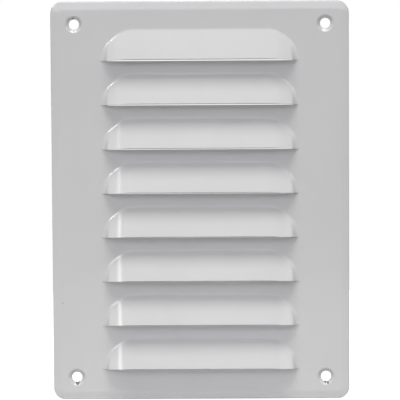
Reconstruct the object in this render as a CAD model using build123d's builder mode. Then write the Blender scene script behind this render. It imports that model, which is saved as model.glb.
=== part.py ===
from build123d import *
from math import atan, cos, degrees, pi, radians, sin, tan
import os

# Ventilation grille pressed from one sheet. Z is up, the front faces -Y, and the plane Y = 0 is the wall.

# Plate and sheet
plate_width = 149.2
plate_height = 200.4
plate_corner_radius = 6.0
sheet_thickness = 1.0

# Rim: a band that leans back from the panel, rolled over into a short flange that meets the wall
rim_depth = 2.8
rim_band_width = 4.0
rim_band_fall = 0.7
rim_roll_radius = 0.7
rim_bend_inner_radius = 7.0

# Louvres: each blade slopes out of the panel to a straight lip above an open slit, and falls away at its ends
# The lip lift is how far the mouth's plane climbs from the slit in the panel to the front of the lip
# The flank is the sloping end of a blade, and the shares are how much of it the two roundings take
louvre_count = 8
louvre_top_margin = 14.2
louvre_bottom_margin = 15.4
louvre_height = 15.6
louvre_width = 94.8
louvre_end_width = 7.8
louvre_flank_angle = 25.0
louvre_bend_radius = 3.0
lip_projection = 7.5
lip_lift = 0.7
lip_shear_width = 1.0
ridge_share = 0.71
end_share = 0.27

# Screw holes in pressed dimples
screw_side_margin = 11.8
screw_end_margin = 11.4
screw_hole_diameter = 5.2
dimple_diameter = 8.6
dimple_depth = 1.2

# Slopes and places that follow from the sizes above
rim_band_slope = atan(rim_band_fall / rim_band_width)
rim_edge_depth = rim_depth - rim_band_fall
louvre_slope = atan(lip_projection / louvre_height)
blade_plane = Plane(
    (0, -rim_depth, louvre_height), x_dir=(1, 0, 0), z_dir=(0, -sin(louvre_slope), -cos(louvre_slope))
)
flank_slope = radians(louvre_flank_angle)
flank_length = louvre_end_width / cos(flank_slope)
ridge_radius = ridge_share * flank_length / tan(flank_slope / 2)
end_radius = end_share * flank_length / tan(pi / 4 - flank_slope / 2)
mouth_slope = atan(lip_lift / lip_projection)
mouth_plane = Plane((0, -rim_depth, 0), x_dir=(1, 0, 0), z_dir=(0, sin(mouth_slope), cos(mouth_slope)))
lip_depth = lip_projection / (1 + tan(louvre_slope) * tan(mouth_slope))
screw_spacing_across = plate_width - 2 * screw_side_margin
screw_spacing_up = plate_height - 2 * screw_end_margin
dimple_slope = atan(2 * dimple_depth / (dimple_diameter - screw_hole_diameter))
first_slit_height = plate_height / 2 - louvre_top_margin - louvre_height
last_slit_height = louvre_bottom_margin - plate_height / 2
louvre_pitch = (first_slit_height - last_slit_height) / (louvre_count - 1)
slit_places = [(0, 0, first_slit_height - louvre_pitch * number) for number in range(louvre_count)]


def louvre_form(setback):
    # One louvre on its own piece of the panel, cut off along the plane of its mouth
    panel_level = rim_depth - setback
    run_out = 2 * louvre_bend_radius
    end_place = louvre_width / 2 - setback
    ridge_place = louvre_width / 2 - louvre_end_width - setback * tan(flank_slope / 2)
    flank_foot = -setback - (end_place - ridge_place) * tan(flank_slope)

    # Blade: a profile with rounded flanks, run down the slope
    with BuildPart() as blade:
        with BuildSketch(blade_plane.offset(-run_out)) as profile:
            with BuildLine():
                Polyline(
                    (-end_place, -louvre_height),
                    (-end_place, flank_foot),
                    (-ridge_place, -setback),
                    (ridge_place, -setback),
                    (end_place, flank_foot),
                    (end_place, -louvre_height),
                    close=True,
                )
            make_face()
            fillet(profile.vertices().group_by(Axis.Y)[1], end_radius - setback)
            fillet(profile.vertices().group_by(Axis.Y)[-1], ridge_radius - setback)
        extrude(amount=louvre_height / cos(louvre_slope) + 2 * run_out)
        split(bisect_by=Plane.XZ.offset(panel_level), keep=Keep.TOP)

    # Bend: runs round the blade's outline in the panel, and past the slit before the mouth is cut
    with BuildPart() as louvre:
        with BuildSketch(Plane.XZ):
            with Locations((0, -2 * run_out)):
                Rectangle(
                    louvre_width + 2 * run_out,
                    louvre_height + 3 * run_out,
                    align=(Align.CENTER, Align.MIN),
                )
        extrude(amount=panel_level)
        add(blade.part)
        panel_face = louvre.faces().filter_by(Plane.XZ).sort_by(Axis.Y)[0]
        blade_outline = panel_face.inner_wires()[0].edges().sort_by(Axis.Z)
        fillet(blade_outline[1:], louvre_bend_radius + setback)
        split(bisect_by=mouth_plane, keep=Keep.TOP)
    return louvre.part


def pressed_form(setback):
    # Solid between the wall and the face of the sheet that lies the setback behind its front face
    panel_level = rim_depth - setback
    panel_plane = Plane.XZ.offset(panel_level)

    # Slab with the rim's flange and band
    flange_level = rim_edge_depth - setback * tan(pi / 4 - rim_band_slope / 2)
    dimple_radius = dimple_diameter / 2 + setback * tan(dimple_slope / 2)
    with BuildPart() as form:
        with BuildSketch(Plane.XZ) as flange_outline:
            RectangleRounded(
                plate_width - 2 * setback, plate_height - 2 * setback, plate_corner_radius - setback
            )
        extrude(amount=flange_level)
        with BuildSketch(Plane.XZ.offset(flange_level)):
            add(flange_outline.sketch_local)
        extrude(amount=panel_level - flange_level, taper=90 - degrees(rim_band_slope))
        fillet(
            form.edges().filter_by_position(Axis.Y, -panel_level, -panel_level),
            rim_bend_inner_radius + sheet_thickness - setback,
        )
        with Locations(panel_plane):
            with GridLocations(screw_spacing_across, screw_spacing_up, 2, 2):
                Cone(
                    screw_hole_diameter / 2,
                    dimple_radius,
                    (dimple_radius - screw_hole_diameter / 2) * tan(dimple_slope),
                    align=(Align.CENTER, Align.CENTER, Align.MAX),
                    mode=Mode.SUBTRACT,
                )
        with Locations(*slit_places):
            add(louvre_form(setback))
    return form.part


# Wedge that leaves the lip's sheared edge square to its slope
with BuildPart() as lip_wedge:
    with BuildSketch(Plane.YZ):
        with BuildLine():
            shear_depth = lip_depth - lip_shear_width
            shear_start = Vector(-rim_depth - shear_depth, shear_depth * tan(mouth_slope))
            shear_run = 2 * lip_shear_width * Vector(-cos(louvre_slope), sin(louvre_slope))
            Polyline(
                shear_start,
                shear_start + shear_run,
                shear_start + Vector(shear_run.X, -lip_shear_width),
                shear_start - Vector(0, lip_shear_width),
                close=True,
            )
        make_face()
    extrude(amount=louvre_width / 2, both=True)

front_form = pressed_form(0)
back_form = pressed_form(sheet_thickness)
with BuildPart() as louvre_grille:
    add(front_form)
    add(back_form, mode=Mode.SUBTRACT)
    rim_edges = louvre_grille.edges().filter_by_position(Axis.Y, -rim_edge_depth, -rim_edge_depth)
    fillet(rim_edges, rim_roll_radius)
    with Locations(*slit_places):
        add(lip_wedge.part, mode=Mode.SUBTRACT)
    with Locations(Plane.XZ):
        with GridLocations(screw_spacing_across, screw_spacing_up, 2, 2):
            Hole(screw_hole_diameter / 2)

louvre_grille.part.label = "louvre_grille"
os.makedirs("parts", exist_ok=True)
export_step(louvre_grille.part, "parts/louvre_grille.step")
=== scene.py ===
import math
import bmesh
import bpy
from mathutils import Matrix, Vector


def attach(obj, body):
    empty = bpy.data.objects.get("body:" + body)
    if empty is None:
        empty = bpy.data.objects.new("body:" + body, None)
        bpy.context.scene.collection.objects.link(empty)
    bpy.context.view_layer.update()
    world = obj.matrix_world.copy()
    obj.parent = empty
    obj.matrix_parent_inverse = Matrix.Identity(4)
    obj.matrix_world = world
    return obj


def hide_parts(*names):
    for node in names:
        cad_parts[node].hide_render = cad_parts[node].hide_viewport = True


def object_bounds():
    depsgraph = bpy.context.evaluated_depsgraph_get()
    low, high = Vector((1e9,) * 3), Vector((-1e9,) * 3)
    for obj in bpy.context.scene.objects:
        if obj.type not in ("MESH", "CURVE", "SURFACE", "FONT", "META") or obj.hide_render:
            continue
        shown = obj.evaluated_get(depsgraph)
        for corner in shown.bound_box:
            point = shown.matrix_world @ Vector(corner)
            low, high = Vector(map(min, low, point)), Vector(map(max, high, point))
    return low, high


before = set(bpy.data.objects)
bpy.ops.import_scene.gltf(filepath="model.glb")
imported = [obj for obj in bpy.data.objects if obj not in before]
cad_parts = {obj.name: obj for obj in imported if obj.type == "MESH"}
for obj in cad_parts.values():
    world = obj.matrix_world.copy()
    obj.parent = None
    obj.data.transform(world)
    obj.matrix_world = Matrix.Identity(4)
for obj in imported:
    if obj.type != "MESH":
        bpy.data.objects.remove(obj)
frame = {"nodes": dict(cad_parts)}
cadLow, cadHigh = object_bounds()
print("frame loaded:", ", ".join(frame["nodes"]))

# sheet: a joined copy of the CAD sheet, so its bends shade smoothly
sheetLook = {
    "mergeDistance": 0.000002,
    "creaseAngle": 28.0,  # degrees, sharper edges stay crisp
    "normalWeight": 90,
}


def makeSheet():
    source = frame["nodes"]["louvre_grille"]
    mesh = source.data.copy()
    mesh.name = "grilleSheet"
    mesh.materials.clear()
    crease = math.radians(sheetLook["creaseAngle"])
    work = bmesh.new()
    work.from_mesh(mesh)
    bmesh.ops.remove_doubles(work, verts=work.verts, dist=sheetLook["mergeDistance"])
    for face in work.faces:
        face.smooth = True
    for edge in work.edges:
        edge.smooth = edge.is_manifold and edge.calc_face_angle() < crease
    work.to_mesh(mesh)
    work.free()
    sheet = bpy.data.objects.new("grilleSheet", mesh)
    bpy.context.scene.collection.objects.link(sheet)
    # large flat faces keep their own normals, so bends don't bleed into the panel
    weighted = sheet.modifiers.new("flatPanelNormals", "WEIGHTED_NORMAL")
    weighted.mode = "FACE_AREA"
    weighted.weight = sheetLook["normalWeight"]
    weighted.keep_sharp = True
    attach(sheet, "root")
    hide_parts("louvre_grille")
    return sheet


# node helpers: a source is another node's output or a plain value
def addNode(tree, kind, **values):
    node = tree.nodes.new(kind)
    for key, value in values.items():
        if hasattr(node, key):
            setattr(node, key, value)
        else:
            node.inputs[key].default_value = value
    return node


def feed(tree, source, socket):
    if isinstance(source, bpy.types.NodeSocket):
        tree.links.new(source, socket)
    else:
        socket.default_value = source


def combine(tree, operation, first, second):
    node = addNode(tree, "ShaderNodeMath", operation=operation)
    feed(tree, first, node.inputs[0])
    feed(tree, second, node.inputs[1])
    return node.outputs["Value"]


def remap(tree, value, span, result=(0.0, 1.0), curve="LINEAR"):
    node = addNode(tree, "ShaderNodeMapRange", interpolation_type=curve)
    limits = zip(("From Min", "From Max", "To Min", "To Max"), (*span, *result))
    for name, limit in limits:
        node.inputs[name].default_value = limit
    feed(tree, value, node.inputs["Value"])
    return node.outputs["Result"]


def noise(tree, vector, scale, detail, roughness):
    node = addNode(tree, "ShaderNodeTexNoise", Scale=scale, Detail=detail, Roughness=roughness)
    feed(tree, vector, node.inputs["Vector"])
    return node.outputs["Fac"]


def mixColour(tree, mask, under, over):
    node = addNode(tree, "ShaderNodeMix", data_type="RGBA")
    feed(tree, mask, node.inputs["Factor"])
    feed(tree, under, node.inputs["A"])
    feed(tree, over, node.inputs["B"])
    return node.outputs["Result"]


# marks: dust with painted shade in the screw dimples, and small dark spots in the coat
# a noise here and below is its scale, detail and roughness
markLook = {
    "screwPlace": (0.0628, 0.0, 0.0888),
    "dimpleRadius": 0.0043,
    "raggedNoise": (2.3, 2.0, 0.5),
    "spotFade": (1.6, 1.2),  # reach plus noise where a spot begins and where it is full
    # the dimple ring: dust plus painted shade darkening the hollow
    "dustAndShadeColour": (0.50, 0.498, 0.49, 1.0),
    "dustAndShadeNoise": (900.0, 3.0, 0.5),
    "dustAndShadeSpan": (0.3, 0.7),
    "dustAndShadeAmount": (0.15, 0.75),
    # small dark spots in the coat, listed below
    "darkMarkColour": (0.075, 0.073, 0.07, 1.0),
    "darkMarkStrength": 0.85,
    "darkMarks": [  # across, up, half width, half height in metres, tilt in degrees
        (-0.06300, -0.09190, 0.00055, 0.00120, -26.0),
        (-0.06215, -0.09185, 0.00050, 0.00120, 26.0),
        (0.06245, -0.09170, 0.00075, 0.00055, 20.0),
        (0.06375, -0.09205, 0.00050, 0.00085, -10.0),
        (-0.06325, 0.09160, 0.00075, 0.00042, -12.0),
        (-0.06960, -0.05120, 0.00026, 0.00028, 0.0),
    ],
}


def softSpot():
    # a round spot of radius about one with a ragged edge
    group = bpy.data.node_groups.new("softSpot", "ShaderNodeTree")
    group.interface.new_socket("Vector", in_out="INPUT", socket_type="NodeSocketVector")
    group.interface.new_socket("Mask", in_out="OUTPUT", socket_type="NodeSocketFloat")
    vector = addNode(group, "NodeGroupInput").outputs["Vector"]
    ragged = noise(group, vector, *markLook["raggedNoise"])
    reach = addNode(group, "ShaderNodeVectorMath", operation="LENGTH")
    feed(group, vector, reach.inputs[0])
    edge = combine(group, "ADD", reach.outputs["Value"], ragged)
    mask = remap(group, edge, markLook["spotFade"], curve="SMOOTHSTEP")
    result = addNode(group, "NodeGroupOutput")
    feed(group, mask, result.inputs["Mask"])
    return group


def spotMask(tree, group, vector, place, turn, size):
    put = addNode(tree, "ShaderNodeMapping", vector_type="TEXTURE")
    put.inputs["Location"].default_value = place
    put.inputs["Rotation"].default_value = turn
    put.inputs["Scale"].default_value = size
    feed(tree, vector, put.inputs["Vector"])
    spot = addNode(tree, "ShaderNodeGroup", node_tree=group)
    feed(tree, put.outputs["Vector"], spot.inputs["Vector"])
    return spot.outputs["Mask"]


# a darker ring in each screw dimple: dust plus painted shade in the hollow
def dustAndShadeMask(tree, group, vector):
    # the four dimples fold onto one
    folded = addNode(tree, "ShaderNodeVectorMath", operation="ABSOLUTE")
    feed(tree, vector, folded.inputs[0])
    place, radius = markLook["screwPlace"], markLook["dimpleRadius"]
    size = (radius, 1, radius)
    ring = spotMask(tree, group, folded.outputs["Vector"], place, (0, 0, 0), size)
    uneven = noise(tree, vector, *markLook["dustAndShadeNoise"])
    amount = remap(tree, uneven, markLook["dustAndShadeSpan"], markLook["dustAndShadeAmount"])
    return combine(tree, "MULTIPLY", ring, amount)


# small dark spots in the coat colour
def darkMarkMask(tree, group, vector):
    total = 0.0
    for across, up, halfWidth, halfHeight, tilt in markLook["darkMarks"]:
        place, size = (across, 0, up), (halfWidth, 1, halfHeight)
        darkMark = spotMask(tree, group, vector, place, (0, math.radians(tilt), 0), size)
        total = combine(tree, "MAXIMUM", total, darkMark)
    return combine(tree, "MULTIPLY", total, markLook["darkMarkStrength"])


# powder coat: semi-gloss grey-white with a fine orange peel, a little thin on the sharp edges
coatLook = {
    "colour": (0.702, 0.702, 0.70, 1.0),
    "cloudColour": (0.684, 0.684, 0.683, 1.0),
    "cloudNoise": (22.0, 3.0, 0.55),
    "cloudSpan": (0.35, 0.7),
    "edgeColour": (0.50, 0.50, 0.505, 1.0),
    "edgeRadius": 0.0003,
    "edgeSamples": 6,
    "edgeSpan": (0.99, 0.80),  # cosine of the lean where wear begins and where it is full
    "wearNoise": (420.0, 4.0, 0.6),
    "waveNoise": (210.0, 2.0, 0.5),
    "waveSpan": (0.3, 0.7),
    "roughness": (0.12, 0.17),
    "peelNoise": (1300.0, 2.0, 0.4),
    "peelStrength": 0.6,
    "peelHeight": 0.000012,
    "indexOfRefraction": 1.6,
}


def edgeWear(tree, vector, rounded):
    # how far the rounded normal leans from the true one, broken up by noise
    surface = addNode(tree, "ShaderNodeNewGeometry")
    agree = addNode(tree, "ShaderNodeVectorMath", operation="DOT_PRODUCT")
    feed(tree, rounded, agree.inputs[0])
    feed(tree, surface.outputs["Normal"], agree.inputs[1])
    edge = remap(tree, agree.outputs["Value"], coatLook["edgeSpan"], curve="SMOOTHSTEP")
    return combine(tree, "MULTIPLY", edge, noise(tree, vector, *coatLook["wearNoise"]))


def powderCoat():
    material = bpy.data.materials.new("powderCoat")
    material.use_nodes = True
    tree = material.node_tree
    shader = tree.nodes["Principled BSDF"]
    shader.inputs["IOR"].default_value = coatLook["indexOfRefraction"]
    vector = addNode(tree, "ShaderNodeTexCoord").outputs["Object"]
    bevel = addNode(tree, "ShaderNodeBevel", samples=coatLook["edgeSamples"])
    bevel.inputs["Radius"].default_value = coatLook["edgeRadius"]
    rounded = bevel.outputs["Normal"]
    spot = softSpot()
    dustAndShade = dustAndShadeMask(tree, spot, vector)
    darkMarks = darkMarkMask(tree, spot, vector)

    # colour: slow clouds, a thinner coat on the edges, dust with painted shade in the dimples,
    # then the small dark spots
    cloud = noise(tree, vector, *coatLook["cloudNoise"])
    cloud = remap(tree, cloud, coatLook["cloudSpan"], curve="SMOOTHSTEP")
    colour = mixColour(tree, cloud, coatLook["colour"], coatLook["cloudColour"])
    wear = edgeWear(tree, vector, rounded)
    colour = mixColour(tree, wear, colour, coatLook["edgeColour"])
    # dust and painted shade darken the screw dimples
    colour = mixColour(tree, dustAndShade, colour, markLook["dustAndShadeColour"])
    colour = mixColour(tree, darkMarks, colour, markLook["darkMarkColour"])
    feed(tree, colour, shader.inputs["Base Color"])

    # roughness drifts with the wave of the coat, and marks are dull
    wave = noise(tree, vector, *coatLook["waveNoise"])
    rough = remap(tree, wave, coatLook["waveSpan"], coatLook["roughness"])
    marks = combine(tree, "MAXIMUM", darkMarks, dustAndShade)
    feed(tree, combine(tree, "MAXIMUM", rough, marks), shader.inputs["Roughness"])

    # orange peel on the wave
    peel = noise(tree, vector, *coatLook["peelNoise"])
    bump = addNode(tree, "ShaderNodeBump", Strength=coatLook["peelStrength"])
    bump.inputs["Distance"].default_value = coatLook["peelHeight"]
    feed(tree, combine(tree, "ADD", peel, wave), bump.inputs["Height"])
    feed(tree, rounded, bump.inputs["Normal"])
    feed(tree, bump.outputs["Normal"], shader.inputs["Normal"])
    return material


sheet = makeSheet()
sheet.data.materials.append(powderCoat())
print("sheet:", len(sheet.data.polygons), "faces")

# studio: pale floor in white surroundings, a large softbox overhead and others round the grille
studio = {
    "white": (1.0, 1.0, 1.0, 1.0),
    "ambient": 0.01,  # light that the white surroundings give
    "roomGlow": 1.0,  # how bright they look in the picture and in reflections
    "floorSize": 1.0,
    "floorColour": (0.54, 0.54, 0.54, 1.0),
    "floorRoughness": 0.9,
    "floorGlow": 0.9,  # what the camera and reflections see on top of the floor's lit colour
    "lampDistance": 3.0,
    "daylight": (1.0, 1.0, 0.962),
    "coolLight": (0.815, 0.805, 1.03),
    "lamps": {  # watts, tint, shape, width and height, elevation, azimuth from the front
        "overheadSoftbox": (66.0, "daylight", "RECTANGLE", (2.4, 1.3), 69.0, 0.0),
        "stripSoftbox": (5.0, "daylight", "ELLIPSE", (0.34, 1.0), 34.5, -42.0),
        "leftSoftbox": (13.0, "daylight", "RECTANGLE", (0.3, 0.75), 24.5, -29.5),
        "rightSoftbox": (7.6, "daylight", "RECTANGLE", (2.0, 1.2), 27.0, 46.0),
        "frontSoftbox": (15.2, "coolLight", "RECTANGLE", (3.6, 1.1), 18.0, 0.0),
        "backSoftbox": (20.0, "daylight", "RECTANGLE", (1.8, 0.9), 12.0, 165.0),
    },
}


def direction(elevation, azimuth):
    # unit vector away from the grille, turned from the front towards +X
    rise, turn = math.radians(elevation), math.radians(azimuth)
    level = math.cos(rise)
    return Vector((math.sin(turn) * level, -math.cos(turn) * level, math.sin(rise)))


def softbox(name, power, tint, shape, size, elevation, azimuth):
    lamp = bpy.data.lights.new(name, "AREA")
    lamp.color = studio[tint]
    lamp.shape = shape
    lamp.size, lamp.size_y = size
    lamp.energy = power
    towards = direction(elevation, azimuth)
    holder = bpy.data.objects.new(name, lamp)
    holder.location = towards * studio["lampDistance"]
    holder.rotation_euler = towards.to_track_quat("Z", "Y").to_euler()
    bpy.context.scene.collection.objects.link(holder)


def seenDirectly(tree):
    # one for the camera and for reflections, zero for the light that falls on surfaces
    rays = addNode(tree, "ShaderNodeLightPath").outputs
    shiny = combine(tree, "MAXIMUM", rays["Is Glossy Ray"], rays["Is Transmission Ray"])
    return combine(tree, "MAXIMUM", rays["Is Camera Ray"], shiny)


def makeRoom():
    world = bpy.data.worlds.new("whiteRoom")
    world.use_nodes = True
    bpy.context.scene.world = world
    tree = world.node_tree
    glow = (studio["ambient"], studio["roomGlow"])
    background = tree.nodes["Background"]
    background.inputs["Color"].default_value = studio["white"]
    feed(tree, remap(tree, seenDirectly(tree), (0.0, 1.0), glow), background.inputs["Strength"])


def makeFloor():
    work = bmesh.new()
    bmesh.ops.create_grid(work, x_segments=1, y_segments=1, size=studio["floorSize"] / 2)
    bmesh.ops.translate(work, verts=work.verts, vec=(0, 0, cadLow.z))
    mesh = bpy.data.meshes.new("floor")
    work.to_mesh(mesh)
    work.free()
    floor = bpy.data.objects.new("floor", mesh)
    bpy.context.scene.collection.objects.link(floor)
    paint = bpy.data.materials.new("paleFloor")
    paint.use_nodes = True
    tree = paint.node_tree
    shader = tree.nodes["Principled BSDF"]
    shader.inputs["Base Color"].default_value = studio["floorColour"]
    shader.inputs["Roughness"].default_value = studio["floorRoughness"]
    shader.inputs["Emission Color"].default_value = studio["white"]
    glow = combine(tree, "MULTIPLY", seenDirectly(tree), studio["floorGlow"])
    feed(tree, glow, shader.inputs["Emission Strength"])
    mesh.materials.append(paint)


makeRoom()
makeFloor()
for name, setup in studio["lamps"].items():
    softbox(name, *setup)
print("studio lit")

# camera: long lens, a little above the grille and almost square to it
view = {
    "distance": 1.2,
    "elevation": 4.02,
    "azimuth": 0.76,
    "roll": -0.35,
    "target": (-0.00026, 0.0, 0.0004),
    "pixelsPerMetre": 1988.0,  # at the target, in the photo's frame
    "imageWidth": 400,
    "sensorWidth": 36.0,
    "clipStart": 0.01,
}


def makeCamera():
    lens = bpy.data.cameras.new("longLens")
    imageSpan = view["imageWidth"] / view["pixelsPerMetre"]
    lens.sensor_width = view["sensorWidth"]
    lens.lens = view["sensorWidth"] * view["distance"] / imageSpan
    lens.clip_start = view["clipStart"]
    back = direction(view["elevation"], view["azimuth"])
    place = Matrix.Translation(Vector(view["target"]) + back * view["distance"])
    aim = (-back).to_track_quat("-Z", "Y").to_matrix().to_4x4()
    roll = Matrix.Rotation(math.radians(view["roll"]), 4, "Z")
    camera = bpy.data.objects.new("longLens", lens)
    camera.matrix_world = place @ aim @ roll
    bpy.context.scene.collection.objects.link(camera)
    bpy.context.scene.camera = camera


makeCamera()
bpy.context.scene.view_settings.view_transform = "Standard"
print("camera set")
